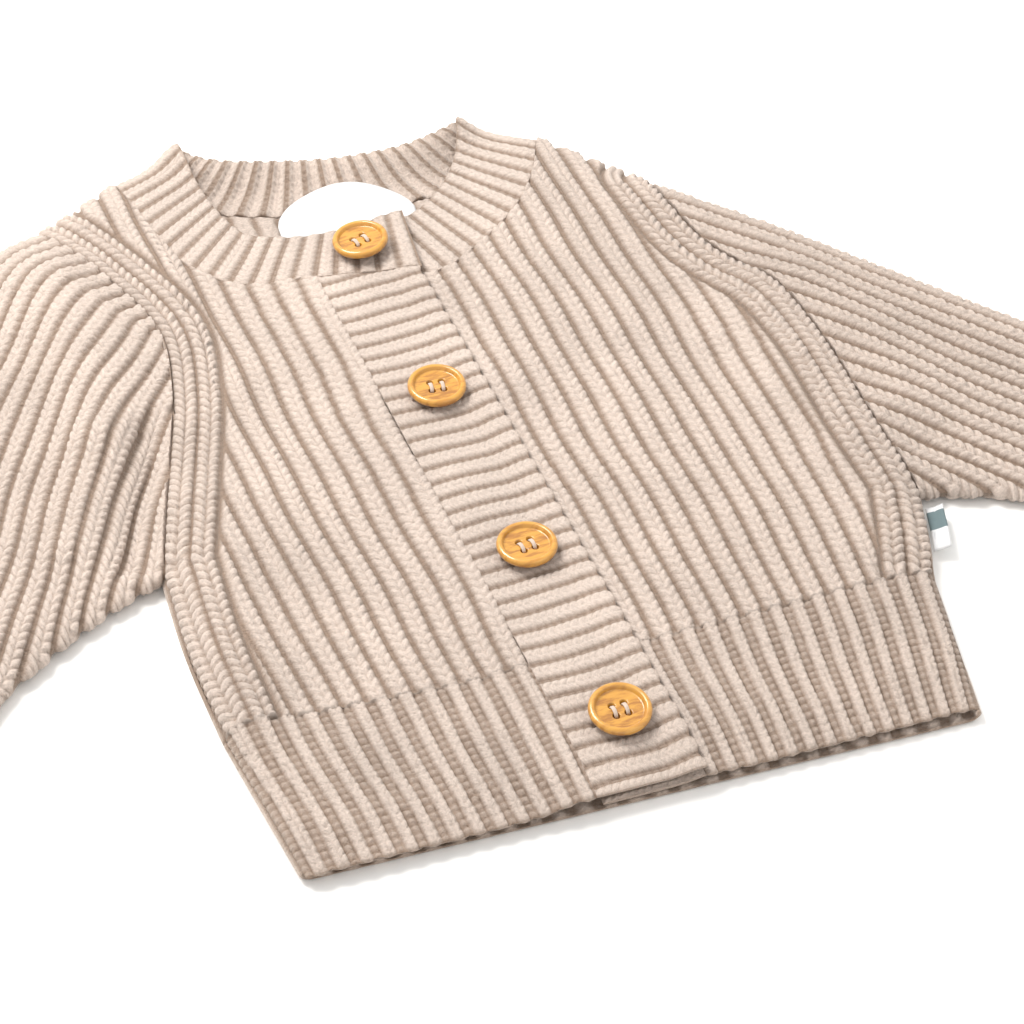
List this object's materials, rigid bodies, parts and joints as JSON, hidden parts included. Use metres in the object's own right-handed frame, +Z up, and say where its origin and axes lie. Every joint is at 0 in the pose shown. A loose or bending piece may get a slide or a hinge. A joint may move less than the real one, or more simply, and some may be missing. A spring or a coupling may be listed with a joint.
{
  "type": "baby cardigan",
  "caption": "Baby's round-neck cardigan in chunky rib knit, buttoned up the front and laid flat on its back, sleeves spread.",
  "frame": {"origin": "middle of the underside of the whole garment's box, on the surface it lies on", "axes": "+X to the wearer's left across the laid garment, +Y from the hem to the neck along the button line, +Z up from the surface"},
  "size_m": [0.4776, 0.3212, 0.0169],
  "materials": {
    "knit": "matt, slightly fuzzy wool or cotton rib knit, oatmeal",
    "button": "glossy resin with an amber wood effect",
    "label": "smooth white woven tape, blank"
  },
  "bodies": {
    "root": {"back": "knit", "front_right": "knit", "front_left": "knit", "hem_rib_back": "knit", "hem_rib_front_right": "knit", "hem_rib_front_left": "knit", "sleeve_right": "knit", "sleeve_left": "knit", "cuff_rib_right": "knit", "cuff_rib_left": "knit", "buttonhole_band": "knit", "button_band": "knit", "neckband": "knit", "neck_label": "label", "side_label": "label", "button_1": "button", "button_2": "button", "button_3": "button", "button_4": "button"}
  },
  "joints": []
}
